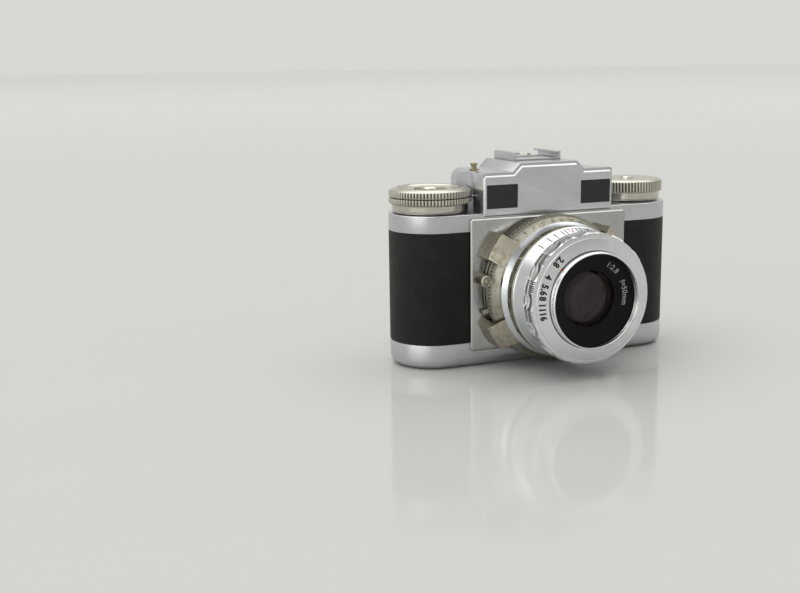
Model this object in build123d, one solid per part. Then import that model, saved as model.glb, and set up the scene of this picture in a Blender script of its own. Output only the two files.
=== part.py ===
from build123d import *
import math
import os

# 35 mm coupled-rangefinder camera with a leaf shutter behind an interchangeable lens.
# Millimetres. +X is the camera's left-to-right as seen from the front, -Y is the front, +Z is up.
# The origin is the mouth of the tripod socket, on the surface that the camera stands on.

os.makedirs("parts", exist_ok=True)

# ---- body -------------------------------------------------------------------------------
body_width = 119.0
body_depth = 33.0
body_centre_x = 0.7
base_top = 9.7
cover_top = 52.7
deck_top = 59.2
base_round = 3.8
leather = 0.7
wall = 1.1
seam_y = 6.0
seam_gap = 0.2
half_width = body_width / 2
end_radius = body_depth / 2

# ---- lens bridge, shutter and lens -----------------------------------------------------
plate_face_y = -18.0
plate_half_width = 33.7
plate_bottom = 6.5
plate_top = 57.5
lens_z = 29.8
light_radius = 15.5
flange_radius = 26.0
flange_face = 11.6
mount_bore = 19.5
leg_radius = 32.3
leg_width = 10.8
leg_angles = [34, 146, 214, 326]
leg_shoulder = 5.8
speed_radius = 28.4
barrel_radius = 17.6
filter_bore = 17.4
rim_radius = 18.6
rim_front = 35.7
ring_gap = 0.3
running = 0.06

# ---- knobs and housing -----------------------------------------------------------------
wind_x = -42.7
wind_radius = 15.9
wind_skirt_radius = 14.8
rewind_x = 45.6
rewind_radius = 14.0
rewind_skirt_radius = 13.0
housing_front_y = -16.4
housing_back_y = 13.0
housing_half = 28.0
shoulder_round = 4.0
shoulder_steps = 4
front_round = 0.6
round_y = -8.0
shoulder_z = 74.4
housing_top = 77.6
shoulder_x = 15.5
crown_x = 12.3
face_thickness = 0.9
window_low = 60.9
window_high = 69.9
window_inner = 13.7
window_outer = 26.8

# ---- film path -------------------------------------------------------------------------
gate_width = 36.0
gate_height = 24.0
gate_face_y = 11.4
deck_z = 51.0
sprocket_x = -31.2
sprocket_y = 5.5


def save(solid, name):
    """Write one piece as its own STEP file."""
    export_step(solid, os.path.join("parts", name + ".step"))


def block(x0, x1, y0, y1, z0, z1):
    """A box between two corners."""
    return Pos((x0 + x1) / 2, (y0 + y1) / 2, (z0 + z1) / 2) * Box(x1 - x0, y1 - y0, z1 - z0)


def post(x, y, z0, z1, radius):
    """An upright cylinder."""
    return Pos(x, y, (z0 + z1) / 2) * Cylinder(radius, z1 - z0)


def slab(z0, z1, inset=0.0):
    """The body's round-ended outline between two heights."""
    outline = SlotOverall(2 * (half_width - inset), 2 * (end_radius - inset))
    return Pos(body_centre_x, 0, z0) * extrude(outline, z1 - z0)


def turned(points):
    """A solid of revolution about Z from (radius, height) points."""
    outline = Plane.XZ * make_face(Polyline(*points, close=True))
    return revolve(outline, Axis.Z)


lens_frame = Plane(origin=(0, plate_face_y, lens_z), x_dir=(1, 0, 0), z_dir=(0, -1, 0)).location


def on_lens(solid):
    """Place a solid drawn with its axis on Z on the lens axis, Z then being the depth before the plate."""
    return lens_frame * solid


def profile_y(points, y0, y1):
    """An outline in X and Z, extruded from y0 to y1."""
    outline = make_face(Polyline(*points, close=True))
    return Pos(0, y1, 0) * (Plane.XZ * extrude(outline, y1 - y0))


# ---- body shells -----------------------------------------------------------------------
def shell(z0, z1, inset, thickness):
    """A round-ended wall."""
    return slab(z0, z1, inset) - slab(z0 - 1, z1 + 1, inset + thickness)


big = 200.0
front_side = block(-big, big, -big, seam_y, -big, big)
back_side = block(-big, big, seam_y + seam_gap, big, -big, big)
light_path = on_lens(Pos(0, 0, -10) * Cylinder(light_radius, 30))

cover_low = base_top + 0.1
front_shell = (shell(cover_low, cover_top, leather, wall) & front_side) - light_path
save(front_shell, "front_shell")

skin_edge = plate_half_width - 0.1
front_skin = shell(cover_low, cover_top, 0, leather) & front_side
save(front_skin & block(-big, -skin_edge, -big, big, 0, big), "leather_left")
save(front_skin & block(skin_edge, big, -big, big, 0, big), "leather_right")

top_cover = slab(cover_top, deck_top) - slab(cover_top - 1, deck_top - 1.0, wall)
top_cover = fillet(top_cover.edges().group_by(Axis.Z)[-1], 0.6)
for shaft_x in (wind_x, rewind_x):
    top_cover -= post(shaft_x, 0, cover_top, deck_top + 1, 3.0 + running)
save(top_cover, "top_plate")

film_deck = slab(deck_z, deck_z + 1.4, leather + wall + 0.2) & front_side
film_deck -= post(wind_x, 0, 0, 80, 2.5 + running)
film_deck -= post(rewind_x, 0, 0, 80, 3.0 + running)
film_deck -= post(sprocket_x, sprocket_y, 0, 80, 1.5 + running)
save(film_deck, "film_deck")

# ---- chassis: light box, film gate and sprocket lug ------------------------------------
gate_z = lens_z
box_back = gate_face_y - 1.4
shell_inside = -end_radius + leather + wall
light_box = block(-22, 22, shell_inside, box_back, gate_z - 16.5, gate_z + 16.5)
light_box -= block(-20.6, 20.6, shell_inside - 1, box_back + 1, gate_z - 15.6, gate_z + 15.6)
gate_plate = block(-24.5, 24.5, box_back, gate_face_y, 11.0, deck_z)
gate_low = gate_z - gate_height / 2
gate_high = gate_z + gate_height / 2
gate_plate -= block(-gate_width / 2, gate_width / 2, 0, 20, gate_low, gate_high)
side_walls = block(-24.5, -23.3, shell_inside, box_back, 11.0, deck_z)
side_walls += block(23.3, 24.5, shell_inside, box_back, 11.0, deck_z)
side_webs = block(-23.3, -22.0, shell_inside, box_back, gate_z - 1, gate_z + 1)
side_webs += block(22.0, 23.3, shell_inside, box_back, gate_z - 1, gate_z + 1)
sprocket_lug = block(sprocket_x - 3, -24.5, sprocket_y - 3, sprocket_y + 3, 11.0, 12.4)
sprocket_lug -= post(sprocket_x, sprocket_y, 0, 20, 1.5 + running)
chassis = light_box + gate_plate + side_walls + side_webs + sprocket_lug
save(chassis, "chassis")

# ---- removable back and base ------------------------------------------------------------
lock_x = -40.0
lock_radius = 6.5
bush_radius = 5.5
socket_radius = 2.55
socket_depth = 6.5
tray_floor = 1.5
tray = slab(0, base_top)
tray = fillet(tray.edges().group_by(Axis.Z)[0], base_round)
tray -= slab(tray_floor, base_round, base_round * 0.7)
tray -= slab(base_round, base_top + 1, wall)
tray += post(lock_x, 0, tray_floor - 0.5, 4.0, lock_radius + 2)
tray -= post(lock_x, 0, -1, 2.3, lock_radius + 0.3)
tray -= post(lock_x, 0, -1, 5, 2.0 + running)
tray -= post(0, 0, -1, 5, bush_radius)
save(tray, "base_tray")

bush = post(0, 0, 0, 8.0, bush_radius) - post(0, 0, -1, socket_depth, socket_radius)
save(bush, "tripod_bush")

lock_disc = post(lock_x, 0, 0.3, 2.0, lock_radius)
lock_disc -= block(lock_x - 5.2, lock_x + 5.2, 1.0, 4.0, -1, 1.3)
lock_disc -= block(lock_x - 5.2, lock_x + 5.2, -4.0, -1.0, -1, 1.3)
lock_key = lock_disc + post(lock_x, 0, 1.5, 5.9, 2.0) + block(lock_x - 7, lock_x + 2, -2, 2, 4.3, 5.9)
save(lock_key, "lock_key")

back_low = base_top
back_high = cover_top - 0.1
save(shell(back_low, back_high, leather, wall) & back_side, "back_shell")
save(shell(back_low, back_high, 0, leather) & back_side, "back_leather")

pressure_y = 12.0
pressure_plate = block(-27, 27, pressure_y, pressure_y + 0.9, gate_z - 16, gate_z + 16)
save(fillet(pressure_plate.edges().filter_by(Axis.Y), 3), "pressure_plate")
back_inside = end_radius - leather - wall
leaf = 0.3
leaf_foot = pressure_y + 0.9
leaf_half = [(7, back_inside - leaf), (12.5, leaf_foot), (14, leaf_foot), (14, leaf_foot + leaf),
             (12.6, leaf_foot + leaf), (7.1, back_inside)]
leaf_points = leaf_half + [(-x, y) for x, y in reversed(leaf_half)]
leaf_spring = Pos(0, 0, gate_z - 5) * extrude(make_face(Polyline(*leaf_points, close=True)), 10)
save(leaf_spring, "pressure_spring")

# ---- finder housing ---------------------------------------------------------------------
def housing_outline(inset, shoulder):
    """Front view of the finder housing, its shoulders rounded."""
    low = shoulder_z - inset
    side = housing_half - inset
    half = [(side, deck_top)]
    for step in range(shoulder_steps + 1):
        bend = math.pi / 2 * step / shoulder_steps
        half.append((side - shoulder * (1 - math.cos(bend)), low - shoulder * (1 - math.sin(bend))))
    half += [(shoulder_x - inset / 2, low), (crown_x - inset / 2, housing_top - inset)]
    return half + [(-x, z) for x, z in reversed(half)]


def housing_section(y, shoulder):
    """The housing's outline as a face across Y."""
    return Pos(0, y, 0) * (Plane.XZ * make_face(Polyline(*housing_outline(0, shoulder), close=True)))


def knob_bays(grow):
    """The round bays that the two knobs turn in."""
    bays = post(wind_x, 0, 50, 90, wind_radius + 0.8 + grow)
    return bays + post(rewind_x, 0, 50, 90, rewind_radius + 0.8 + grow)


front_sections = [housing_section(housing_front_y, front_round), housing_section(round_y, shoulder_round)]
front_part = loft(front_sections, ruled=True)
housing = front_part + profile_y(housing_outline(0, shoulder_round), round_y, housing_back_y)
housing -= knob_bays(0)
hollow_outline = housing_outline(wall, shoulder_round - wall)
hollow = profile_y(hollow_outline, housing_front_y + wall, housing_back_y - wall)
housing -= hollow - knob_bays(wall)
housing -= block(-100, 100, -100, 100, 0, deck_top)
window_centres = [-(window_inner + window_outer) / 2, (window_inner + window_outer) / 2]
window_width = window_outer - window_inner
window_height = window_high - window_low
window_mid = (window_high + window_low) / 2


def pane(x, y0, y1, margin):
    """A window-sized block."""
    half = window_width / 2 - margin
    return block(x - half, x + half, y0, y1, window_low + margin, window_high - margin)


for centre in window_centres:
    housing -= pane(centre, housing_front_y - 1, housing_front_y + 3, 0.5)
eyepiece_x = -18.0
release_x = -23.5
release_y = 1.0
housing -= Pos(eyepiece_x, housing_back_y, window_mid) * (Rot(90, 0, 0) * Cylinder(3.6, 6))
housing -= post(release_x, release_y, shoulder_z - 3, shoulder_z + 1, 1.15 + running)
save(housing, "finder_housing")

face_edge = [(28.0, 58.0), (28.0, 72.4), (27.0, 73.4), (15.1, 73.4), (11.9, 76.6)]
face_points = face_edge + [(-x, z) for x, z in reversed(face_edge)]
face_plate = profile_y(face_points, housing_front_y - face_thickness, housing_front_y)
front_edges = face_plate.faces().sort_by(Axis.Y)[0].edges()
face_plate = chamfer(front_edges, 0.6)
for centre in window_centres:
    face_plate -= pane(centre, -30, 0, 0)
face_plate -= block(-100, 100, -16.5, 0, 0, deck_top)
save(face_plate, "housing_face")

for centre, name in zip(window_centres, ("finder_window", "rangefinder_window")):
    save(pane(centre, housing_front_y - 0.6, housing_front_y, 0), name)

eyepiece = turned([(2.4, 0), (3.6, 0), (3.6, 1.6), (4.6, 1.6), (4.6, 2.6), (2.4, 2.6)])
save(Pos(eyepiece_x, housing_back_y - 1.6, window_mid) * (Rot(-90, 0, 0) * eyepiece), "eyepiece")
eyepiece_glass = Rot(90, 0, 0) * Cylinder(2.4, 1.2)
save(Pos(eyepiece_x, housing_back_y - 0.8, window_mid) * eyepiece_glass, "eyepiece_glass")

finder_block = block(-21.5, -13, -8, 4, deck_top, 70.5)
save(finder_block, "finder_block")
mirror_x = 20.0
arm = post(mirror_x, -4, deck_top + 0.3, 69.5, 1.6) + block(6, mirror_x, -4.8, -3.2, 60.0, 62.0)
arm += Pos(mirror_x, -4, 65.5) * (Rot(0, 0, 45) * block(-4.5, 4.5, -2.2, -1.0, -4, 4))
save(arm, "rangefinder_arm")

# ---- accessory shoe ---------------------------------------------------------------------
shoe_half = 10.3
shoe_front = -7.2
shoe_back = 10.1
shoe_top = 80.9
sheet = 0.8
lip_x = 7.6
shoe = block(-shoe_half, shoe_half, shoe_front, shoe_back, housing_top, housing_top + sheet)
rail = block(shoe_half - sheet, shoe_half, shoe_front, shoe_back, housing_top, shoe_top)
rail += block(lip_x, shoe_half, shoe_front, shoe_back, shoe_top - sheet, shoe_top)
shoe += rail + mirror(rail, Plane.YZ)
save(shoe, "accessory_shoe")
shoe_spring = block(-5, 5, 0.5, 7.5, housing_top + sheet, housing_top + sheet + 0.3)
shoe_spring += block(-4, -3, 6.0, 7.2, housing_top + sheet, housing_top + sheet + 0.9)
shoe_spring += block(3, 4, 6.0, 7.2, housing_top + sheet, housing_top + sheet + 0.9)
save(shoe_spring, "shoe_spring")

# ---- shutter release and index pin ------------------------------------------------------
release_travel = 1.1
collar_top = shoulder_z + 0.3
collar = post(release_x, release_y, shoulder_z, collar_top, 2.0)
collar -= post(release_x, release_y, 60, 90, 1.15 + running)
save(collar, "release_collar")
stem_top = collar_top + release_travel + 0.2
button_top = stem_top + 0.9
button = turned([(0, 71.0), (1.35, 71.0), (1.35, 71.6), (1.15, 71.6), (1.15, stem_top),
                 (1.5, stem_top + 0.6), (1.5, button_top), (0.9, button_top), (0.6, stem_top),
                 (0, stem_top)])
save(Pos(release_x, release_y, 0) * button, "release_button")
groove_z = 65.25
pin_y = -8.6
index_pin = Pos(-housing_half - 0.45, pin_y, groove_z) * (Rot(0, 90, 0) * Cylinder(0.45, 0.9))
save(index_pin, "index_pin")

# ---- wind knob, counter dial, spool and sprocket ---------------------------------------
skirt_bottom = deck_top + 0.3
lower_bottom = 62.8
lower_top = groove_z - 0.15
upper_bottom = groove_z + 0.15
upper_top = 68.0
knob = turned([(2.5, skirt_bottom), (wind_skirt_radius, skirt_bottom), (wind_skirt_radius, lower_bottom),
               (wind_radius, lower_bottom), (wind_radius, lower_top), (6.0, lower_top),
               (6.0, 67.4), (2.5, 67.4)])
save(Pos(wind_x, 0, 0) * knob, "wind_knob")
shaft = turned([(0, 13.0), (2.5, 13.0), (2.5, 67.4), (0, 67.4)])
save(Pos(wind_x, 0, 0) * shaft, "wind_shaft")
screw = turned([(0, 67.4), (3.2, 67.4), (3.2, 68.3), (2.2, 69.0), (0, 69.3)])
save(Pos(wind_x, 0, 0) * screw, "knob_screw")
dial = turned([(6.0 + ring_gap, upper_bottom), (wind_radius, upper_bottom), (wind_radius, upper_top),
               (15.0, 68.8), (10.8, 68.8), (10.0, 68.1), (6.0 + ring_gap, 68.1)])
save(Pos(wind_x, 0, 0) * dial, "counter_dial")

spool = turned([(2.5 + ring_gap, 11.4), (8.2, 11.4), (8.2, 12.4), (5.5, 12.4), (5.5, 49.4), (10.5, 49.4),
                (10.5, 50.4), (2.5 + ring_gap, 50.4)])
spool -= block(-0.6, 0.6, 0, 8, 16, 46)
save(Pos(wind_x, 0, 0) * spool, "take_up_spool")

film_low = gate_z - 17.0
sprocket = turned([(0, 11.2), (1.5, 11.2), (1.5, film_low), (5.8, film_low), (5.8, film_low + 5),
                   (3.5, film_low + 5), (3.5, film_low + 30), (5.8, film_low + 30), (5.8, film_low + 35),
                   (1.5, film_low + 35), (1.5, 52.2), (0, 52.2)])
tooth_count = 8
for index in range(tooth_count):
    tooth_angle = 360 / tooth_count * index
    for tooth_z in (film_low + 3, film_low + 32):
        sprocket += Rot(0, 0, tooth_angle) * (Pos(5.8, 0, tooth_z) * Box(1.4, 1.2, 1.6))
save(Pos(sprocket_x, sprocket_y, 0) * sprocket, "sprocket")

# ---- rewind knob -------------------------------------------------------------------------
sleeve = turned([(2.0 + running, 45.0), (3.0, 45.0), (3.0, 64.0), (2.0 + running, 64.0)])
save(Pos(rewind_x, 0, 0) * sleeve, "rewind_sleeve")
rewind = turned([(3.0 + ring_gap, skirt_bottom + 0.2), (rewind_skirt_radius, skirt_bottom + 0.2),
                 (rewind_skirt_radius, 63.1), (rewind_radius, 63.1), (rewind_radius, 67.2), (13.2, 68.0),
                 (2.0, 68.0), (2.0, 64.3), (3.0 + ring_gap, 64.3)])
save(Pos(rewind_x, 0, 0) * rewind, "rewind_knob")
fork = turned([(0, 43.5), (2.0, 43.5), (2.0, 68.0), (2.6, 68.0), (2.0, 68.8), (0, 69.1)])
fork += turned([(0, 43.5), (2.9, 43.5), (2.9, 44.7), (0, 44.7)])
fork -= block(-0.8, 0.8, -4, 4, 40, 44.2)
save(Pos(rewind_x, 0, 0) * fork, "rewind_fork")

# ---- front plate, bridge and shutter ----------------------------------------------------
plate_edge = -end_radius
plate = block(-plate_half_width, plate_half_width, plate_face_y, plate_edge, plate_bottom, plate_top)
plate = fillet(plate.edges().filter_by(Axis.Y), 1.2)
plate = chamfer(plate.faces().sort_by(Axis.Y)[0].edges(), 0.5)
pad_edge = plate_edge + leather
plate += block(-skin_edge, skin_edge, plate_edge, pad_edge, cover_low, cover_top)
plate -= light_path
save(plate, "front_plate")

bridge = turned([(mount_bore, 8.7), (flange_radius, 8.7), (flange_radius, 10.0), (23.8, flange_face),
                 (mount_bore, flange_face)])
leg_section = turned([(29.0, 0), (leg_radius, 0), (leg_radius, leg_shoulder), (flange_radius, 10.0),
                      (25.0, 10.0), (25.0, 8.9), (26.4, 8.7), (29.0, 6.4)])
for angle in leg_angles:
    bridge += leg_section & (Rot(0, 0, angle) * block(20, 40, -leg_width / 2, leg_width / 2, -1, 12))
save(on_lens(bridge), "lens_bridge")

drum = turned([(light_radius, 0), (26.6, 0), (26.6, 2.6), (23.0, 2.6), (23.0, 8.6), (light_radius, 8.6)])
save(on_lens(drum), "shutter_drum")

speed = turned([(23.0 + ring_gap, 2.9), (speed_radius, 2.9), (speed_radius, 5.5), (27.5, 5.7), (25.4, 7.6),
                (25.4, 8.3), (23.0 + ring_gap, 8.3)])
save(on_lens(speed), "speed_ring")

selector_angle = 195
selector = turned([(26.6 + ring_gap, 0.4), (27.9, 0.4), (27.9, 2.4), (26.6 + ring_gap, 2.4)])
selector += Rot(0, 0, selector_angle) * block(27.4, 30.9, -0.9, 0.9, 0.6, 2.2)
save(on_lens(selector), "sync_selector")

socket_x = -30.6
socket_y = 5.0
flash_socket = turned([(0, 0), (2.3, 0), (2.3, 7.2), (2.0, 7.5), (1.5, 7.5),
                       (1.5, 5.0), (0.4, 5.0), (0.4, 7.0), (0, 7.0)])
save(on_lens(Pos(socket_x, socket_y, 0) * flash_socket), "flash_socket")

# ---- lens ----------------------------------------------------------------------------------
base_radius = mount_bore - 0.1
lens_base = turned([(barrel_radius + ring_gap, 8.8), (base_radius, 8.8), (base_radius, flange_face),
                    (23.4, flange_face), (23.4, 12.3), (base_radius, 12.3), (base_radius, 17.0),
                    (barrel_radius + ring_gap, 17.0)])
save(on_lens(lens_base), "lens_base")

mount_ring = turned([(base_radius, 12.6), (25.0, 12.6), (25.0, 16.4), (24.4, 17.0), (base_radius, 17.0)])
save(on_lens(mount_ring), "mount_ring")

sleeve_bore = barrel_radius + ring_gap
scale_ring = turned([(sleeve_bore, 17.0), (24.0, 17.0), (23.7, 22.3), (sleeve_bore, 22.3)])
save(on_lens(scale_ring), "scale_ring")

focus = turned([(sleeve_bore, 22.6), (23.7, 22.6), (24.4, 24.0), (24.4, 26.7), (sleeve_bore, 26.7)])
save(on_lens(focus), "focus_ring")

name_seat = 29.6
barrel_front = 32.0
barrel = turned([(9.2, 10.0), (barrel_radius, 10.0), (barrel_radius, barrel_front), (17.0, barrel_front),
                 (17.0, name_seat), (10.6, name_seat), (10.6, 24.0), (8.6, 24.0), (8.6, 22.6), (16.4, 22.6),
                 (16.4, 19.6), (9.2, 19.6)])
save(on_lens(barrel), "lens_barrel")

rim = turned([(barrel_radius, 27.0), (rim_radius, 27.0), (rim_radius, 34.7), (17.9, rim_front),
              (filter_bore, rim_front), (filter_bore, barrel_front), (barrel_radius, barrel_front)])
save(on_lens(rim), "filter_rim")

name_ring = turned([(10.6, name_seat), (17.0, name_seat), (17.0, 31.9), (16.0, 31.9), (10.6, 30.4)])
save(on_lens(name_ring), "name_ring")


def lens_element(radius, low, low_rim, high_rim, high):
    """A lens element: flat rims at its edge and a spherical face on each side."""
    edge = [Line((0, low), (0, high)), Line((radius, low_rim), (radius, high_rim))]
    middle = radius * 0.52
    for centre, rim_height in ((high, high_rim), (low, low_rim)):
        bend = (middle, centre + (rim_height - centre) * 0.27)
        edge.append(ThreePointArc((0, centre), bend, (radius, rim_height)))
    return revolve(Plane.XZ * make_face(edge), Axis.Z)


save(on_lens(lens_element(10.6, 25.4, 26.0, 27.8, 29.8)), "front_glass")
save(on_lens(lens_element(8.6, 23.6, 22.7, 24.0, 24.5)), "middle_glass")
save(on_lens(lens_element(9.2, 12.6, 13.6, 16.4, 17.0)), "rear_glass")

aperture_bore = rim_radius + ring_gap
aperture = turned([(aperture_bore, 27.0), (24.7, 27.0), (24.7, 30.4), (24.2, 31.0), (19.3, 32.7),
                   (aperture_bore, 32.7)])
save(on_lens(aperture), "aperture_ring")

# ---- iris blades: curved leaves, each in its own layer, pivoted near the barrel wall -----
blade_count = 5
pivot_radius = 13.6
blade_half = 2.4
blade_sweep = 120
blade_thick = 0.2
blade_step = 0.45
first_blade = 19.9
wedge_reach = 30
wedge_sides = 4
for index in range(blade_count):
    layer = first_blade + index * blade_step
    leaf_ring = turned([(pivot_radius - blade_half, layer), (pivot_radius + blade_half, layer),
                        (pivot_radius + blade_half, layer + blade_thick),
                        (pivot_radius - blade_half, layer + blade_thick)])
    wedge_points = [(0, 0)]
    for step in range(wedge_sides + 1):
        turn = math.radians(blade_sweep * step / wedge_sides)
        wedge_points.append((wedge_reach * math.cos(turn), wedge_reach * math.sin(turn)))
    wedge = Pos(0, 0, layer - 1) * extrude(make_face(Polyline(*wedge_points, close=True)), 3)
    blade = leaf_ring & wedge
    save(on_lens(Rot(0, 0, 360 / blade_count * index) * blade), f"iris_blade_{index + 1}")
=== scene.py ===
import bpy
import bmesh
import math
import numpy as np
from mathutils import Matrix, Vector


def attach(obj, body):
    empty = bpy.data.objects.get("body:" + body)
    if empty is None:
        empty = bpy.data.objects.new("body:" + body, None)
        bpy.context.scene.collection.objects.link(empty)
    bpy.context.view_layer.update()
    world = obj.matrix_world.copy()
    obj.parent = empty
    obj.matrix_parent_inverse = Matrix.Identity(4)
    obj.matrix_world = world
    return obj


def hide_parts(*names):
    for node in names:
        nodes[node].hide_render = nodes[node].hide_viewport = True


# A compact 35 mm rangefinder camera on a pale table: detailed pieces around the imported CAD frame.
# Helpers take millimetres and write metres. Lens pieces are drawn with Z as the depth before the front plate.

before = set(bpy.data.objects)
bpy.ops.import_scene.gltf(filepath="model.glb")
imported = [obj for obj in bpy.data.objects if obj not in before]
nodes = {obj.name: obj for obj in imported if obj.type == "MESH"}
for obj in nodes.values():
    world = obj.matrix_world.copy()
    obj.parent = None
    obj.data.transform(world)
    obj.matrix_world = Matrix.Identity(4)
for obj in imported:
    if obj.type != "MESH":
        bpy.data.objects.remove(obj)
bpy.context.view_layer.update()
MM = 0.001
TINY = 1e-6
scene = bpy.context.scene

# The front plate's face, the height of the lens axis, and the axes of the knobs, button and flash socket.
PLATE_Y = -18.0
LENS_Z = 29.8
WIND_X = -42.7
REWIND_X = 45.6
RELEASE_X, RELEASE_Y = -23.5, 1.0
SOCKET_X, SOCKET_RISE = -30.6, 5.0
LENS_FRAME = Matrix(((1, 0, 0, 0), (0, 0, -1, PLATE_Y), (0, 1, 0, LENS_Z), (0, 0, 0, 1)))

# Light levels: the wall behind, the room in front and the panel above.
WALL_TONE = 0.69
ROOM_TONE = 0.85
PANEL_TONE = 1.2


# ---- camera, floor and light -------------------------------------------------------------
def place_camera():
    """The camera at the photograph's angle, with no shift."""
    azimuth, elevation, roll = (math.radians(v) for v in (-21.54, 11.363, -0.845))
    distance, aside, above = 446.68, 58.677, 0.689
    target = Vector((0.3, -18.0, 25.9))
    flat = math.cos(elevation)
    back = Vector((math.sin(azimuth) * flat, -math.cos(azimuth) * flat, math.sin(elevation)))
    right = Vector((math.cos(azimuth), math.sin(azimuth), 0))
    up = back.cross(right)
    side = right * math.cos(roll) + up * math.sin(roll)
    top = up * math.cos(roll) - right * math.sin(roll)
    place = (target + back * distance - side * aside - top * above) * MM
    data = bpy.data.cameras.new("camera")
    data.sensor_width = 36
    data.lens = 51.4422
    data.clip_start = 0.01
    camera = bpy.data.objects.new("camera", data)
    camera.matrix_world = Matrix(((side.x, top.x, back.x, place.x), (side.y, top.y, back.y, place.y),
                                  (side.z, top.z, back.z, place.z), (0, 0, 0, 1)))
    scene.collection.objects.link(camera)
    scene.camera = camera


def make_floor(half=60.0):
    """A wide pale, slightly glossy table."""
    s = Shader("pale_table")
    cloud = s.noise(0.002, 2.0)
    tone = (0.535, 0.542, 0.533)
    s.set(Base_Color=s.mix(cloud, shade(tone, 0.995), shade(tone, 1.005)), Metallic=0.0,
          Specular_IOR_Level=0.14, Roughness=s.span(cloud, 0.3, 0.7, 0.07, 0.09),
          Normal=s.bump(s.noise(0.01, 1.0), 0.0005))
    mesh = bpy.data.meshes.new("table")
    corners = [(-half, -half, 0), (half, -half, 0), (half, half, 0), (-half, half, 0)]
    mesh.from_pydata(corners, [], [(0, 1, 2, 3)])
    mesh.materials.append(s.material)
    table = bpy.data.objects.new("table", mesh)
    scene.collection.objects.link(table)


def make_studio():
    """Soft light all round: a large bright panel above, a pale wall behind, a dimmer room in front."""
    world = bpy.data.worlds.new("studio")
    world.use_nodes = True
    tree = world.node_tree
    tree.nodes.clear()
    place = tree.nodes.new("ShaderNodeTexCoord")
    split = tree.nodes.new("ShaderNodeSeparateXYZ")
    tree.links.new(place.outputs["Generated"], split.inputs[0])

    def span(socket, low, high, out_low, out_high):
        node = tree.nodes.new("ShaderNodeMapRange")
        node.interpolation_type = "SMOOTHSTEP"
        tree.links.new(socket, node.inputs[0])
        for index, item in enumerate((low, high, out_low, out_high)):
            node.inputs[index + 1].default_value = item
        return node.outputs[0]

    def join(operation, a, b):
        node = tree.nodes.new("ShaderNodeMath")
        node.operation = operation
        for index, item in enumerate((a, b)):
            if isinstance(item, bpy.types.NodeSocket):
                tree.links.new(item, node.inputs[index])
            else:
                node.inputs[index].default_value = item
        return node.outputs[0]

    def patch(toward, inner, outer, level):
        """A soft round light in one direction."""
        node = tree.nodes.new("ShaderNodeVectorMath")
        node.operation = "DOT_PRODUCT"
        tree.links.new(place.outputs["Generated"], node.inputs[0])
        node.inputs[1].default_value = Vector(toward).normalized()
        edge, core = math.cos(math.radians(outer)), math.cos(math.radians(inner))
        return span(node.outputs["Value"], edge, core, 0.0, level)

    overhead = span(split.outputs["Z"], 0.52, 0.80, 0.0, PANEL_TONE)
    panel = join("MULTIPLY", overhead, span(split.outputs["Y"], -0.50, -0.28, 0.12, 1.0))
    high = span(split.outputs["Z"], 0.35, 0.75, 1.0, 0.35)
    front = span(split.outputs["Y"], -0.55, 0.15, 1.0, 0.0)
    near = join("MULTIPLY", join("MULTIPLY", front, high), ROOM_TONE)
    room = join("ADD", near, join("SUBTRACT", 1.0, front))
    strength = join("ADD", join("MULTIPLY", room, WALL_TONE), panel)
    strength = join("ADD", strength, patch((-0.86, -0.50, 0.10), 12, 34, 1.0))
    light = tree.nodes.new("ShaderNodeBackground")
    light.inputs["Color"].default_value = (0.995, 1.0, 0.955, 1)
    tree.links.new(strength, light.inputs["Strength"])
    end = tree.nodes.new("ShaderNodeOutputWorld")
    tree.links.new(light.outputs[0], end.inputs[0])
    scene.world = world


def soft_sun(name, azimuth, elevation, strength, width):
    """A broad far light, its direction given like the camera's."""
    data = bpy.data.lights.new(name, "SUN")
    data.energy = strength
    data.angle = math.radians(width)
    light = bpy.data.objects.new(name, data)
    around, rise = math.radians(azimuth), math.radians(elevation)
    toward = Vector((math.sin(around) * math.cos(rise), -math.cos(around) * math.cos(rise), math.sin(rise)))
    light.rotation_euler = toward.to_track_quat("Z", "Y").to_euler()
    scene.collection.objects.link(light)


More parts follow.
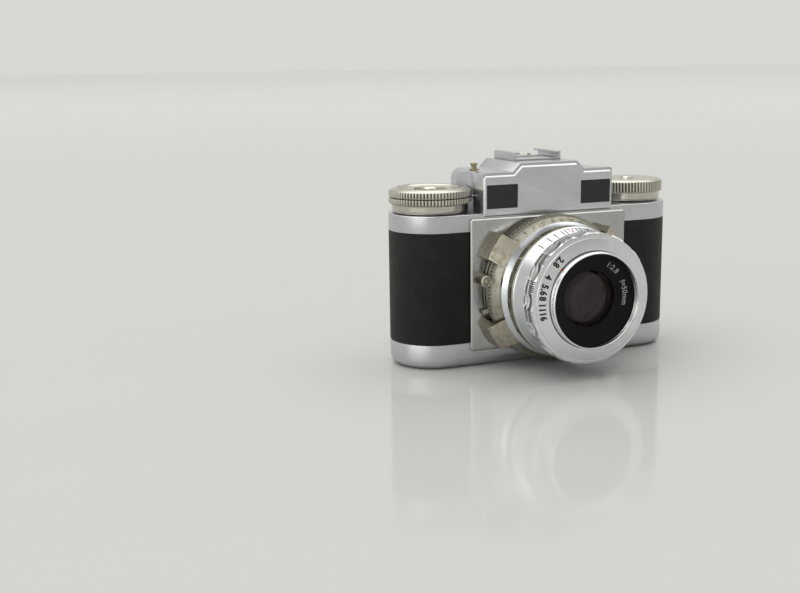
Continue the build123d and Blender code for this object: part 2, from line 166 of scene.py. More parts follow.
# ---- node materials ----------------------------------------------------------------------
class Shader:
    """A material's node tree, with short ways to add nodes."""

    def __init__(self, name):
        self.material = bpy.data.materials.new(name)
        self.material.use_nodes = True
        self.tree = self.material.node_tree
        self.tree.nodes.clear()
        self.output = self.tree.nodes.new("ShaderNodeOutputMaterial")
        self.body = self.tree.nodes.new("ShaderNodeBsdfPrincipled")
        self.tree.links.new(self.body.outputs[0], self.output.inputs[0])
        self.place = self.add("ShaderNodeTexCoord").outputs["Object"]
        self.mm = self.vector("SCALE", self.place, scale=1000.0)

    def add(self, kind, **settings):
        node = self.tree.nodes.new(kind)
        for key, value in settings.items():
            setattr(node, key, value)
        return node

    def put(self, socket, value):
        if isinstance(value, bpy.types.NodeSocket):
            self.tree.links.new(value, socket)
        else:
            socket.default_value = value

    def set(self, **values):
        """Set the shader's own sockets, spaces in their names written as underscores."""
        for key, value in values.items():
            self.put(self.body.inputs[key.replace("_", " ")], value)

    def math(self, operation, a, b=0.0, clamp=False):
        node = self.add("ShaderNodeMath", operation=operation, use_clamp=clamp)
        self.put(node.inputs[0], a)
        self.put(node.inputs[1], b)
        return node.outputs[0]

    def vector(self, operation, a, b=(0, 0, 0), scale=1.0):
        node = self.add("ShaderNodeVectorMath", operation=operation)
        self.put(node.inputs[0], a)
        self.put(node.inputs[1], b)
        if operation == "SCALE":
            node.inputs["Scale"].default_value = scale
        return node.outputs["Value"] if operation in ("LENGTH", "DOT_PRODUCT") else node.outputs["Vector"]

    def noise(self, scale, detail=3.0, stretch=(1, 1, 1)):
        """Noise whose features are about 1 / scale millimetres."""
        node = self.add("ShaderNodeTexNoise")
        place = self.vector("MULTIPLY", self.mm, stretch)
        self.put(node.inputs["Vector"], place)
        node.inputs["Scale"].default_value = scale
        node.inputs["Detail"].default_value = detail
        return node.outputs["Fac"]

    def span(self, value, low, high, out_low=0.0, out_high=1.0):
        """Map a range to another, clamped."""
        node = self.add("ShaderNodeMapRange")
        for index, item in enumerate((value, low, high, out_low, out_high)):
            self.put(node.inputs[index], item)
        return node.outputs[0]

    def mix(self, share, a, b):
        node = self.add("ShaderNodeMix", data_type="RGBA")
        self.put(node.inputs["Factor"], share)
        self.put(node.inputs["A"], a if isinstance(a, bpy.types.NodeSocket) else (*a, 1))
        self.put(node.inputs["B"], b if isinstance(b, bpy.types.NodeSocket) else (*b, 1))
        return node.outputs["Result"]

    def attribute(self, name):
        node = self.add("ShaderNodeAttribute")
        node.attribute_name = name
        return node.outputs["Fac"]

    def bump(self, height, distance, under=None):
        """Bump of so many millimetres."""
        node = self.add("ShaderNodeBump")
        node.inputs["Distance"].default_value = distance * MM
        self.put(node.inputs["Height"], height)
        if under is not None:
            self.put(node.inputs["Normal"], under)
        return node.outputs["Normal"]


def shade(tone, share):
    return tuple(min(1.0, c * share) for c in tone)


# Dirt with painted shade: a near-black brown mixed into metal where the knurl grooves are deep.
VALLEY_DIRT_AND_SHADE = (0.045, 0.04, 0.03)


def metal(name, tone, rough, grain=0.0012, grain_scale=9.0, spread=0.06, turned=False,
          stain=None, stain_share=0.0):
    """Plated or bare metal: cloudy tone, satin grain, hairlines, stains, and dirt with painted shade in the
    knurl grooves.
    """
    s = Shader(name)
    cloud = s.noise(0.09, 4.0)
    patch = s.noise(0.55, 5.0)
    colour = s.mix(s.span(cloud, 0.3, 0.7), shade(tone, 0.93), shade(tone, 1.05))
    if stain:
        colour = s.mix(s.span(patch, 0.50, 0.72, 0.0, stain_share), colour, stain)
    groove = s.attribute("groove")
    # Dirt and painted shade: the knurl valleys are darkened by their groove depth.
    colour = s.mix(s.span(groove, 0.15, 1.0, 0.0, 0.85), colour, VALLEY_DIRT_AND_SHADE)
    hairline = s.span(s.noise(1.1, 2.0, stretch=(0.3, 0.3, 9.0)), 0.68, 0.74)
    scuff = s.span(s.noise(0.9, 2.0, stretch=(8.0, 0.5, 0.5)), 0.70, 0.76)
    marks = s.math("MAXIMUM", hairline, scuff)
    roughness = s.span(patch, 0.3, 0.7, rough - spread, rough + spread)
    roughness = s.math("ADD", roughness, s.math("MULTIPLY", marks, 0.05))
    roughness = s.math("ADD", roughness, s.math("MULTIPLY", groove, 0.3), clamp=True)
    height = s.noise(grain_scale, 2.0)
    if turned:
        out = s.vector("MULTIPLY", s.vector("SUBTRACT", s.mm, (0, 0, LENS_Z)), (1, 0, 1))
        depth = s.vector("DOT_PRODUCT", s.mm, (0, 1, 0))
        line = s.math("ADD", s.vector("LENGTH", out), depth)
        wave = s.add("ShaderNodeTexNoise", noise_dimensions="1D")
        s.put(wave.inputs["W"], line)
        wave.inputs["Scale"].default_value = 9.0
        wave.inputs["Detail"].default_value = 4.0
        height = s.math("ADD", s.math("MULTIPLY", height, 0.25), wave.outputs["Fac"])
    normal = s.bump(height, grain)
    normal = s.bump(s.math("MULTIPLY", marks, -1.0), 0.0001, under=normal)
    s.set(Base_Color=colour, Roughness=roughness, Normal=normal, Metallic=1.0)
    return s.material


def leather(name):
    """Black pebbled leather cloth."""
    s = Shader(name)
    cells = s.add("ShaderNodeTexVoronoi", feature="DISTANCE_TO_EDGE")
    warp = s.add("ShaderNodeTexNoise")
    s.put(warp.inputs["Vector"], s.mm)
    warp.inputs["Scale"].default_value = 0.9
    place = s.vector("ADD", s.mm, s.vector("SCALE", warp.outputs["Color"], scale=0.7))
    s.put(cells.inputs["Vector"], s.vector("MULTIPLY", place, (1.0, 1.0, 1.35)))
    cells.inputs["Scale"].default_value = 1.45
    fine = s.noise(5.0, 4.0)
    pebble = s.span(cells.outputs["Distance"], 0.0, 0.33)
    wear = s.noise(0.12, 3.0)
    colour = s.mix(pebble, (0.004, 0.004, 0.004), (0.015, 0.0145, 0.014))
    colour = s.mix(s.span(wear, 0.48, 0.75, 0.0, 0.35), colour, (0.03, 0.029, 0.027))
    roughness = s.span(s.math("ADD", pebble, fine), 0.3, 1.6, 0.62, 0.42)
    normal = s.bump(s.math("ADD", pebble, s.math("MULTIPLY", fine, 0.22)), 0.22)
    s.set(Base_Color=colour, Roughness=roughness, Normal=normal, Metallic=0.0, Specular_IOR_Level=0.32)
    return s.material


def enamel(name, tone, rough, shine=0.3):
    """Dark paint or anodising, slightly dusty."""
    s = Shader(name)
    cloud = s.noise(0.4, 4.0)
    colour = s.mix(cloud, shade(tone, 0.75), shade(tone, 1.35))
    dust = s.span(s.noise(2.6, 4.0), 0.62, 0.8, 0.0, 0.12)
    colour = s.mix(dust, colour, (0.25, 0.24, 0.22))
    s.set(Base_Color=colour, Roughness=s.span(cloud, 0.3, 0.7, rough - 0.05, rough + 0.08),
          Normal=s.bump(s.noise(6.0, 3.0), 0.001), Metallic=0.0, Specular_IOR_Level=shine)
    return s.material


def glass(name, tone, tint):
    """Coated optical glass over a dark barrel."""
    s = Shader(name)
    haze = s.noise(0.3, 4.0)
    s.set(Base_Color=s.mix(haze, shade(tone, 0.92), tone), Roughness=0.0,
          Metallic=0.0, IOR=1.6, Transmission_Weight=1.0, Specular_Tint=(*tint, 1))
    return s.material


def pane_glass(name, tone):
    """Near-black viewfinder glass with a faint haze."""
    s = Shader(name)
    haze = s.noise(0.25, 4.0)
    s.set(Base_Color=s.mix(haze, shade(tone, 0.7), shade(tone, 1.5)), Metallic=0.0, IOR=1.5,
          Roughness=s.span(haze, 0.35, 0.75, 0.05, 0.16), Normal=s.bump(s.noise(0.2, 2.0), 0.01))
    return s.material


LOOKS = {
    "satin": metal("body_chrome", (0.585, 0.585, 0.615), 0.31, grain=0.0003, grain_scale=5.0, spread=0.02),
    "face": metal("face_chrome", (0.63, 0.63, 0.655), 0.235, grain=0.0003, grain_scale=5.0, spread=0.015),
    "knob": metal("knob_nickel", (0.57, 0.545, 0.485), 0.22, grain=0.0003, spread=0.03,
                  stain=(0.46, 0.41, 0.30), stain_share=0.25),
    "plate": metal("plate_nickel", (0.48, 0.48, 0.47), 0.17, grain=0.0003, spread=0.04,
                   stain=(0.42, 0.41, 0.38), stain_share=0.3),
    "leg": metal("leg_nickel", (0.50, 0.465, 0.38), 0.38, grain=0.004, grain_scale=3.0, spread=0.08,
                 stain=(0.25, 0.22, 0.16), stain_share=0.7),
    "flange": metal("flange_chrome", (0.72, 0.74, 0.78), 0.13, turned=True, grain=0.0003, spread=0.03),
    "shutter": metal("shutter_nickel", (0.38, 0.365, 0.31), 0.34, turned=True, grain=0.0006,
                     stain=(0.20, 0.18, 0.13), stain_share=0.6),
    "drum": metal("drum_nickel", (0.55, 0.53, 0.46), 0.34, turned=True, grain=0.0006,
                  stain=(0.30, 0.27, 0.20), stain_share=0.6),
    "bright": metal("polished_chrome", (0.80, 0.80, 0.81), 0.13, turned=True, grain=0.0002, spread=0.02),
    "ring": metal("ring_aluminium", (0.78, 0.78, 0.80), 0.24, turned=True, grain=0.0006, spread=0.02),
    "scale": metal("scale_aluminium", (0.66, 0.67, 0.70), 0.22, turned=True, grain=0.0005, spread=0.02),
    "brass": metal("worn_brass", (0.40, 0.35, 0.22), 0.35, stain=(0.22, 0.18, 0.09), stain_share=0.5),
    "steel": metal("grey_steel", (0.42, 0.42, 0.41), 0.35),
    "cast": metal("cast_alloy", (0.22, 0.22, 0.22), 0.5, grain=0.004, grain_scale=3.0),
    "leather": leather("pebbled_leather"),
    "enamel": enamel("dark_enamel", (0.012, 0.012, 0.012), 0.42),
    "inner": enamel("black_anodised", (0.006, 0.006, 0.006), 0.40, 0.12),
    "plastic": enamel("dark_plastic", (0.014, 0.014, 0.015), 0.25),
    "ink": enamel("black_ink", (0.010, 0.010, 0.011), 0.6),
    "white_ink": enamel("white_ink", (0.36, 0.36, 0.34), 0.5),
    "red_ink": enamel("red_ink", (0.45, 0.02, 0.03), 0.5),
    "optic": glass("coated_glass", (0.70, 0.66, 0.62), (0.42, 0.34, 0.30)),
    "violet": glass("violet_glass", (0.60, 0.60, 0.68), (0.22, 0.20, 0.45)),
    "window": pane_glass("dark_pane", (0.010, 0.010, 0.010)),
}


# ---- mesh helpers --------------------------------------------------------------------------
def piece(name, points, faces, material, body, place, stands_for=(), groove=None, sharp=32.0):
    """Make a piece from points in millimetres, riding on a body."""
    mesh = bpy.data.meshes.new(name)
    mesh.from_pydata([tuple(p) for p in points], [], [tuple(f) for f in faces])
    if groove is not None:
        layer = mesh.attributes.new("groove", "FLOAT", "POINT")
        layer.data.foreach_set("value", np.asarray(groove, np.float32))
    mesh.transform(Matrix.Scale(MM, 4) @ place)
    return finish_piece(name, mesh, material, body, stands_for, sharp)


def finish_piece(name, mesh, material, body, stands_for, sharp):
    """Shade a mesh, put it in the scene on its body, and hide the nodes it replaces."""
    form = bmesh.new()
    form.from_mesh(mesh)
    bmesh.ops.recalc_face_normals(form, faces=form.faces)
    form.to_mesh(mesh)
    form.free()
    mesh.shade_smooth()
    mesh.set_sharp_from_angle(angle=math.radians(sharp))
    mesh.materials.append(material)
    made = bpy.data.objects.new(name, mesh)
    scene.collection.objects.link(made)
    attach(made, body)
    if stands_for:
        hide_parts(*stands_for)
    return made


def soften(profile, radius, steps=3):
    """Round each corner of a closed (radius, height) profile. A third number is a corner's own radius."""
    count = len(profile)
    out = []
    for i, corner in enumerate(profile):
        here = Vector(corner[:2])
        size = corner[2] if len(corner) > 2 else radius
        before = Vector(profile[i - 1][:2]) - here
        after = Vector(profile[(i + 1) % count][:2]) - here
        room = 0.45 * min(before.length, after.length)
        if size <= 0 or room < 0.01 or here.x < TINY:
            out.append((here.x, here.y))
            continue
        cut = min(size, room)
        a, b = here + before.normalized() * cut, here + after.normalized() * cut
        for k in range(steps + 1):
            t = k / steps
            p = a * (1 - t) ** 2 + here * (2 * t * (1 - t)) + b * t ** 2
            out.append((p.x, p.y))
    return out


def lathe(profile, turns, relief=None):
    """Revolve a closed profile about Z. relief gives a change of radius and a groove depth at each point."""
    on_axis = [k for k, p in enumerate(profile) if p[0] < TINY]
    points, groove = [], []
    angles = [2 * math.pi * i / turns for i in range(turns)]
    for angle in angles:
        c, s = math.cos(angle), math.sin(angle)
        for r, z in profile:
            cut, depth = relief(angle, r, z) if relief else (0.0, 0.0)
            points.append(((r + cut) * c, (r + cut) * s, z))
            groove.append(depth)
    n = len(profile)
    faces = []
    for i in range(turns):
        j = (i + 1) % turns
        for k in range(n):
            m = (k + 1) % n
            if profile[k][0] < TINY and profile[m][0] < TINY:
                continue
            faces.append((i * n + k, j * n + k, j * n + m, i * n + m))
    if on_axis:
        merged = {i * n + k: k for i in range(turns) for k in on_axis}
        faces = [tuple(dict.fromkeys(merged.get(v, v) for v in f)) for f in faces]
        used = sorted({v for f in faces for v in f})
        index = {v: i for i, v in enumerate(used)}
        points = [points[v] for v in used]
        groove = [groove[v] for v in used]
        faces = [tuple(index[v] for v in f) for f in faces if len(f) > 2]
    return points, faces, groove


FLUTE_REACH = 0.35
GRIP_REACH = 0.5
GRIP_GROUPS = 14
GROUP_TEETH = 6
GRIP_TURNS = GRIP_GROUPS * 72


def flutes(count, depth, low, high, base, ease=0.25):
    """Straight knurling between two heights, on the wall at radius base."""
    def relief(angle, r, z):
        if r < base - FLUTE_REACH or not low - TINY <= z <= high + TINY:
            return 0.0, 0.0
        wave = (0.5 - 0.5 * math.cos(count * angle)) ** 1.6
        fade = min(1.0, (z - low) / ease + 0.25, (high - z) / ease + 0.25)
        return -depth * wave * fade, wave * fade
    return relief


def grip(tooth_share, scallop, tooth, low, high, base, phase):
    """Groups of fine teeth between shallow scallops, on a wall at radius base."""
    def relief(angle, r, z):
        if r < base - GRIP_REACH or not low - TINY <= z <= high + TINY:
            return 0.0, 0.0
        turn = ((angle - phase) / (2 * math.pi) * GRIP_GROUPS) % 1.0
        if turn < tooth_share:
            wave = 0.5 - 0.5 * math.cos(2 * math.pi * GROUP_TEETH * turn / tooth_share)
            return -tooth * wave, wave * 0.9
        bow = math.sin(math.pi * (turn - tooth_share) / (1 - tooth_share))
        return -scallop * bow ** 0.8, 0.0
    return relief


def upright(x, y=0.0):
    """A vertical axis through a point of the base plane."""
    return Matrix.Translation((x, y, 0))


WELD = 1e-7
FLAT_ANGLE = 0.6
EDGE_ANGLE = 28.0


def refined(node, look, body, bevel):
    """A CAD node's own shape with welded faces and softened edges."""
    source = nodes[node].data.copy()
    form = bmesh.new()
    form.from_mesh(source)
    bmesh.ops.remove_doubles(form, verts=form.verts, dist=WELD)
    bmesh.ops.dissolve_limit(form, angle_limit=math.radians(FLAT_ANGLE), verts=form.verts, edges=form.edges)
    sharp = math.radians(EDGE_ANGLE)
    edges = [e for e in form.edges if len(e.link_faces) == 2 and e.calc_face_angle(0) > sharp]
    bmesh.ops.bevel(form, geom=edges, offset=bevel * MM, segments=3, profile=0.5, affect="EDGES",
                    clamp_overlap=True)
    mesh = bpy.data.meshes.new(node + "_form")
    form.to_mesh(mesh)
    form.free()
    bpy.data.meshes.remove(source)
    return finish_piece(node + "_form", mesh, LOOKS[look], body, (node,), 30.0)


# ---- engraved figures ------------------------------------------------------------------------
def numerals(text, size, weight=0.0):
    """A line of plain figures as flat (x, y) outlines filled with faces, centred on its middle."""
    data = bpy.data.curves.new("figures", "FONT")
    data.body = text
    data.size = size
    data.align_x = "CENTER"
    data.align_y = "CENTER"
    data.resolution_u = 3
    data.space_character = 1.08
    data.offset = weight
    holder = bpy.data.objects.new("figures", data)
    scene.collection.objects.link(holder)
    mesh = bpy.data.meshes.new_from_object(holder)
    points = [(v.co.x, v.co.y) for v in mesh.vertices]
    faces = [tuple(p.vertices) for p in mesh.polygons]
    bpy.data.objects.remove(holder)
    bpy.data.curves.remove(data)
    bpy.data.meshes.remove(mesh)
    return points, faces


INK_PROUD = 0.03
INK_SUNK = 0.05


def thick(points, faces, lift):
    """Close a flat patch into a thin solid. lift(point, depth) places it on its surface."""
    n = len(points)
    placed = [lift(p, INK_PROUD) for p in points] + [lift(p, -INK_SUNK) for p in points]
    border = {}
    for f in faces:
        for a, b in zip(f, f[1:] + f[:1]):
            border[(a, b)] = border.get((a, b), 0) + 1
    solid = list(faces) + [tuple(n + v for v in reversed(f)) for f in faces]
    for a, b in border:
        if (b, a) not in border:
            solid.append((b, a, n + a, n + b))
    return placed, solid


class Marks:
    """Ink figures and lines gathered into one piece."""

    def __init__(self):
        self.points, self.faces = [], []

    def join(self, points, faces):
        base = len(self.points)
        self.points += points
        self.faces += [tuple(base + v for v in f) for f in faces]

    def on_cylinder(self, outline, faces, angle, depth, radius_at, flip=False):
        """Wrap a patch round the lens axis: its x runs round, its y runs back or forward along the axis."""
        sign = -1 if flip else 1

        def lift(p, out):
            d = depth + sign * p[1]
            r = radius_at(d) + out
            turn = angle - sign * p[0] / radius_at(depth)
            return (r * math.cos(turn), r * math.sin(turn), d)
        self.join(*thick(outline, faces, lift))

    def on_cone(self, outline, faces, angle, radius, height_at, inward=True):
        """Lay a patch on a face round the lens axis, its top towards the axis or away from it."""
        sign = -1 if inward else 1

        def lift(p, out):
            r = radius + sign * p[1]
            turn = angle - sign * p[0] / radius
            return (r * math.cos(turn), r * math.sin(turn), height_at(r) + out)
        self.join(*thick(outline, faces, lift))

    def make(self, name, look, body, place=LENS_FRAME):
        return piece(name, self.points, self.faces, LOOKS[look], body, place)


def bar(width, length, steps=4):
    """A straight line as a flat patch."""
    points = []
    for k in range(steps + 1):
        y = length * (k / steps - 0.5)
        points += [(-width / 2, y), (width / 2, y)]
    return points, [(2 * k, 2 * k + 1, 2 * k + 3, 2 * k + 2) for k in range(steps)]


# ---- the frame's own shapes, with softened edges -----------------------------------------------
REFINED = [
    ("top_plate", "satin", "body", "satin_chrome", 0.15),
    ("base_tray", "satin", "back", "satin_chrome", 0.15),
    ("finder_housing", "satin", "body", "satin_chrome", 0.35),
    ("housing_face", "face", "body", "satin_chrome", 0.18),
    ("accessory_shoe", "satin", "body", "satin_chrome", 0.22),
    ("shoe_spring", "steel", "body", "spring_steel", 0.08),
    ("front_plate", "plate", "body", "nickel", 0.15),
    ("lens_bridge", "leg", "body", "nickel", 0.22),
    ("leather_left", "leather", "body", "black_leather", 0.28),
    ("leather_right", "leather", "body", "black_leather", 0.28),
    ("back_leather", "leather", "back", "black_leather", 0.28),
    ("front_shell", "cast", "body", "cast_frame", 0.1),
    ("back_shell", "cast", "back", "cast_frame", 0.1),
    ("chassis", "cast", "body", "cast_frame", 0.2),
    ("film_deck", "inner", "body", "black_enamel", 0.1),
    ("tripod_bush", "knob", "back", "nickel", 0.2),
    ("lock_key", "knob", "lock", "nickel", 0.2),
    ("pressure_plate", "inner", "back", "black_enamel", 0.15),
    ("pressure_spring", "steel", "back", "spring_steel", 0.06),
    ("eyepiece", "enamel", "body", "black_enamel", 0.25),
    ("rangefinder_arm", "brass", "rangefinder", "brass", 0.1),
    ("take_up_spool", "plastic", "take_up", "black_plastic", 0.15),
    ("sprocket", "enamel", "sprocket", "black_enamel", 0.12),
    ("rewind_sleeve", "steel", "rewind_lift", "spring_steel", 0.1),
    ("wind_shaft", "steel", "wind", "spring_steel", 0.15),
    ("sync_selector", "shutter", "sync", "bright_chrome", 0.12),
    ("shutter_drum", "drum", "body", "black_enamel", 0.12),
    ("lens_barrel", "inner", "barrel", "black_enamel", 0.12),
    ("index_pin", "steel", "body", "spring_steel", 0.1),
    ("release_collar", "brass", "body", "brass", 0.1),
]
for node, look, body, slot, bevel in REFINED:
    refined(node, look, body, bevel)

# The bridge's round flange shines, and its legs are dull.
FLANGE_RADIUS = 26.25
bridge = bpy.data.objects["lens_bridge_form"].data
bridge.materials.append(LOOKS["flange"])
for face in bridge.polygons:
    if math.hypot(face.center.x, face.center.z - LENS_Z * MM) < FLANGE_RADIUS * MM:
        face.material_index = 1

CARRIED = {"finder_window": "window", "rangefinder_window": "window", "eyepiece_glass": "window",
           "finder_block": "window", "front_glass": "optic", "middle_glass": "violet", "rear_glass": "violet",
           "lens_base": "enamel"}
CARRIED.update({f"iris_blade_{k}": "inner" for k in range(1, 6)})
for node, look in CARRIED.items():
    nodes[node].data.materials.clear()
    nodes[node].data.materials.append(LOOKS[look])


# ---- knobs ----------------------------------------------------------------------------------
def turned_piece(name, profile, turns, look, body, stands_for, relief, place, radius=0.12):
    """A piece turned on a lathe, its corners rounded, with relief on its wall."""
    points, faces, groove = lathe(soften(profile, radius), turns, relief)
    return piece(name, points, faces, LOOKS[look], body, place, stands_for, groove, 34.0)


STEPS_PER_TOOTH = 8
FLUTE_DEPTH = 0.42
WIND_TEETH = 76
WIND_RADIUS = 15.9
REWIND_TEETH = 68
REWIND_RADIUS = 14.0

WIND_KNOB = [(2.5, 59.5), (14.5, 59.5, 0.2), (14.8, 60.6, 0.3), (14.8, 62.5, 0.1), (15.5, 62.8, 0.2),
             (WIND_RADIUS, 63.15, 0.2), (WIND_RADIUS, 64.85, 0.15), (15.6, 65.1), (6.0, 65.1),
             (6.0, 67.4), (2.5, 67.4)]
COUNTER_DIAL = [(6.3, 65.4), (15.6, 65.4), (WIND_RADIUS, 65.6, 0.15), (WIND_RADIUS, 67.4, 0.25),
                (15.45, 67.95, 0.3), (14.2, 68.5, 0.4), (13.2, 68.8, 0.3), (10.9, 68.8, 0.25),
                (10.3, 68.2, 0.3), (6.3, 68.05)]
KNOB_SCREW = [(0, 67.4), (3.2, 67.4), (3.2, 68.2, 0.2), (2.4, 68.95, 0.3), (1.2, 69.25, 0.3), (0, 69.3)]
REWIND_KNOB = [(3.3, 59.7), (12.8, 59.7, 0.2), (13.0, 60.4, 0.2), (13.0, 62.8, 0.1), (13.7, 63.0, 0.2),
               (REWIND_RADIUS, 63.3, 0.2), (REWIND_RADIUS, 66.9, 0.25), (13.6, 67.4, 0.3),
               (12.4, 68.0, 0.4), (2.1, 68.0), (2.1, 64.3), (3.3, 64.3)]
RELEASE_BUTTON = [(0, 71.0), (1.35, 71.0), (1.35, 71.6), (1.0, 71.7), (1.0, 75.7, 0.3), (1.5, 76.5, 0.2),
                  (1.5, 76.9, 0.1), (1.0, 76.9, 0.1), (0.6, 76.1, 0.2), (0, 76.0)]

turned_piece("wind_knob_form", WIND_KNOB, WIND_TEETH * STEPS_PER_TOOTH, "knob", "wind",
             ("wind_knob",), flutes(WIND_TEETH, FLUTE_DEPTH, 62.8, 65.0, WIND_RADIUS), upright(WIND_X))
turned_piece("counter_dial_form", COUNTER_DIAL, WIND_TEETH * STEPS_PER_TOOTH, "knob", "counter",
             ("counter_dial",), flutes(WIND_TEETH, FLUTE_DEPTH, 65.45, 67.75, WIND_RADIUS), upright(WIND_X))
turned_piece("knob_screw_form", KNOB_SCREW, 96, "knob", "wind", ("knob_screw",), None,
             upright(WIND_X))
turned_piece("rewind_knob_form", REWIND_KNOB, REWIND_TEETH * STEPS_PER_TOOTH, "knob", "rewind",
             ("rewind_knob",), flutes(REWIND_TEETH, FLUTE_DEPTH, 63.0, 67.2, REWIND_RADIUS),
             upright(REWIND_X))
refined("rewind_fork", "knob", "rewind", 0.15)
turned_piece("release_button_form", RELEASE_BUTTON, 48, "brass", "release", ("release_button",),
             None, upright(RELEASE_X, RELEASE_Y), 0.08)


# ---- lens and shutter -------------------------------------------------------------------------
# Outlines of the rings: radius, depth before the front plate, and the rounding of the corner.
SCALE_REAR = (24.7, 17.8)
SCALE_FRONT = (23.1, 22.1)
APERTURE_RIM = (22.65, 31.51)
APERTURE_BORE = (18.9, 32.84)

SPEED_RING = [(23.3, 2.9), (28.2, 2.9), (28.4, 3.2, 0.1), (28.4, 4.2, 0.1), (27.9, 4.3, 0.1),
              (27.9, 4.8, 0.1), (28.3, 4.9, 0.1), (28.3, 5.4, 0.15), (27.5, 5.7), (25.4, 7.6),
              (25.4, 8.3), (23.3, 8.3)]
MOUNT_RING = [(19.4, 12.6), (24.7, 12.6), (25.0, 12.9, 0.15), (25.0, 16.0, 0.1), (24.9, 16.2, 0.1),
              (24.6, 16.5), (19.4, 16.6)]
SCALE_RING = [(17.9, 16.8), (24.7, 16.8, 0.1), (25.1, 17.1, 0.1), (25.1, 17.4, 0.1), (*SCALE_REAR, 0.1),
              (*SCALE_FRONT, 0.1), (22.9, 22.3), (17.9, 22.3)]
FOCUS_RING = [(17.9, 22.6), (22.9, 22.6, 0.1), (23.1, 22.8, 0.1), (24.1, 24.0, 0.1), (24.4, 24.4, 0.15),
              (24.4, 26.4, 0.2), (24.1, 26.7), (17.9, 26.7)]
APERTURE_RING = [(18.3, 27.0), (24.3, 27.0), (24.7, 27.4, 0.2), (24.7, 30.2, 0.15), (24.25, 30.9, 0.2),
                 (22.95, 31.38), (22.82, 31.22), APERTURE_RIM, (*APERTURE_BORE, 0.1), (18.3, 32.9)]
NAME_RING = [(10.6, 29.6), (17.0, 29.6), (17.0, 31.9), (16.2, 31.9), (16.0, 31.7), (11.9, 30.7),
             (11.7, 30.3), (10.9, 30.2), (10.6, 29.9)]
FLASH_SOCKET = [(0, 0), (2.35, 0), (2.35, 7.1, 0.15), (2.0, 7.5, 0.15), (1.75, 7.5, 0.1), (1.6, 7.2),
                (1.45, 7.4), (1.2, 7.4), (1.1, 6.9), (0.75, 6.9), (0.65, 7.35), (0.35, 7.5), (0, 7.5)]


RIM_RADIUS = 18.1
RIM_CREST, RIM_ROOT = 17.35, 17.55
FILTER_RIM = [(17.6, 27.0), (RIM_RADIUS, 27.0), (RIM_RADIUS, 34.6, 0.25), (17.9, 35.4, 0.2),
              (17.65, 35.7, 0.1), (RIM_CREST, 35.5), (RIM_CREST, 35.2), (RIM_ROOT, 35.0), (RIM_CREST, 34.8)]
for top in (34.5, 33.9, 33.3):
    FILTER_RIM += [(RIM_ROOT, top), (RIM_CREST, top - 0.3)]
FILTER_RIM += [(RIM_CREST, 32.0), (17.6, 32.0)]


def lens_piece(name, profile, turns, look, body, stands_for, relief=None, radius=0.12):
    """A piece turned about the lens axis."""
    return turned_piece(name, profile, turns, look, body, stands_for, relief, LENS_FRAME, radius)


lens_piece("speed_ring_form", SPEED_RING, 960, "shutter", "speed", ("speed_ring",),
           flutes(120, 0.35, 3.0, 5.45, 28.4, ease=0.1))
lens_piece("mount_ring_form", MOUNT_RING, GRIP_TURNS, "shutter", "body", ("mount_ring",),
           grip(tooth_share=0.42, scallop=0.95, tooth=0.5, low=12.9, high=16.1, base=25.0, phase=0.3))
lens_piece("scale_ring_form", SCALE_RING, 256, "scale", "body", ("scale_ring",))
lens_piece("focus_ring_form", FOCUS_RING, GRIP_TURNS, "ring", "focus", ("focus_ring",),
           grip(tooth_share=0.42, scallop=0.95, tooth=0.5, low=24.2, high=26.5, base=24.4, phase=0.1))
lens_piece("aperture_ring_form", APERTURE_RING, GRIP_TURNS, "ring", "aperture",
           ("aperture_ring",),
           grip(tooth_share=0.40, scallop=0.80, tooth=0.42, low=27.3, high=30.95, base=24.7, phase=0.55),
           0.08)
lens_piece("filter_rim_form", FILTER_RIM, 256, "bright", "barrel", ("filter_rim",),
           radius=0.04)
lens_piece("name_ring_form", NAME_RING, 256, "inner", "barrel", ("name_ring",), radius=0.06)
turned_piece("flash_socket_form", FLASH_SOCKET, 64, "leg", "body", ("flash_socket",), None,
             Matrix.Translation((SOCKET_X, 0, SOCKET_RISE)) @ LENS_FRAME)


# ---- figures and index lines ------------------------------------------------------------------
def line_through(x, y, slope):
    """A cone as a straight line: its height against its radius, or its radius against its depth."""
    return lambda at: y + (at - x) * slope


APERTURE_SLOPE = (APERTURE_BORE[1] - APERTURE_RIM[1]) / (APERTURE_BORE[0] - APERTURE_RIM[0])
SCALE_SLOPE = (SCALE_FRONT[0] - SCALE_REAR[0]) / (SCALE_FRONT[1] - SCALE_REAR[1])
aperture_height = line_through(*APERTURE_RIM, APERTURE_SLOPE)
scale_radius = line_through(SCALE_REAR[1], SCALE_REAR[0], SCALE_SLOPE)
focus_radius = line_through(22.8, 23.1, 0.833)
speed_height = line_through(27.5, 5.7, -0.905)
name_ring_height = line_through(16.0, 31.7, 0.244)

aperture = Marks()
for text, turn in (("2.8", 134), ("4", 152), ("5.6", 165), ("8", 174), ("11", 183), ("16", 192)):
    aperture.on_cone(*numerals(text, 3.1, 0.15), math.radians(turn), 20.9, aperture_height)
aperture.make("aperture_figures", "ink", "aperture")

depths = Marks()
for turn in (46, 60, 70, 77.5, 85.5, 89, 100, 103.5, 111, 118, 128):
    depths.on_cylinder(*bar(0.38, 3.4), math.radians(turn), 19.8, scale_radius)
depths.make("depth_of_field_lines", "ink", "body")

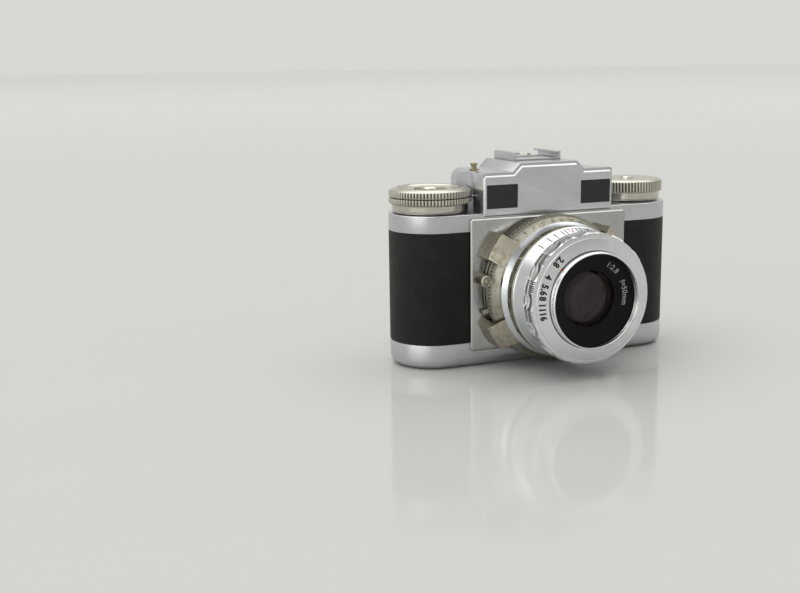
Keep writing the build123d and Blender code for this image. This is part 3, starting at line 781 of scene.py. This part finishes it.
index = Marks()
CORNERS = ((-1.0, 1.25), (1.0, 1.25), (0, -1.25))
HALF_STROKE = 0.15
for k in range(3):
    a, b = Vector(CORNERS[k]), Vector(CORNERS[(k + 1) % 3])
    along = (b - a).normalized() * HALF_STROKE
    wide = Vector((-along.y, along.x))
    ends = (a - along + wide, a - along - wide, b + along - wide, b + along + wide)
    outline = [tuple(end) for end in ends]
    index.on_cylinder(outline, [(0, 1, 2, 3)], math.radians(94.5), 19.5, scale_radius, flip=True)
index.make("focus_index", "red_ink", "body")

distances = Marks()
for k, text in enumerate(("1", "1.2", "1.5", "2", "2.5", "3", "4", "5", "7", "10", "20")):
    distances.on_cylinder(*numerals(text, 1.35), math.radians(230 - 14.5 * k), 23.4, focus_radius)
distances.make("distance_figures", "ink", "focus")

speeds = Marks()
for k, text in enumerate(("B", "1", "2", "5", "10", "25", "50", "100", "200", "500")):
    speeds.on_cone(*numerals(text, 1.5), math.radians(150 - 9 * k), 26.4, speed_height)
speeds.make("speed_figures", "ink", "speed")

ring_marks = Marks()
for text, turn in (("1:2.8", 52), ("f=50mm", 6)):
    ring_marks.on_cone(*numerals(text, 2.7, 0.04), math.radians(turn), 14.1, name_ring_height, inward=False)
ring_marks.make("lens_figures", "white_ink", "barrel")

dot = Marks()
DOT_RADIUS = 0.42
circle = [math.radians(turn) for turn in range(0, 360, 20)]
outline = [(DOT_RADIUS * math.cos(turn), DOT_RADIUS * math.sin(turn)) for turn in circle]
dot.on_cylinder(outline, [tuple(range(len(outline)))], math.radians(137), 33.6, lambda d: RIM_RADIUS)
dot.make("aperture_dot", "red_ink", "barrel")

counter = Marks()
DIAL_TOP = 68.8
for k in range(36):
    outline, faces = bar(0.16, 0.9) if k % 6 else numerals(str(k), 1.5)
    counter.on_cone(outline, faces, math.radians(10 * k), 12.05, lambda r: DIAL_TOP)
counter.make("counter_figures", "ink", "counter", upright(WIND_X))


# ---- the stage ----------------------------------------------------------------------------------
scene.view_settings.view_transform = "Standard"
make_floor()
make_studio()
soft_sun("key", -60, 62, 0.3, 60)
place_camera()
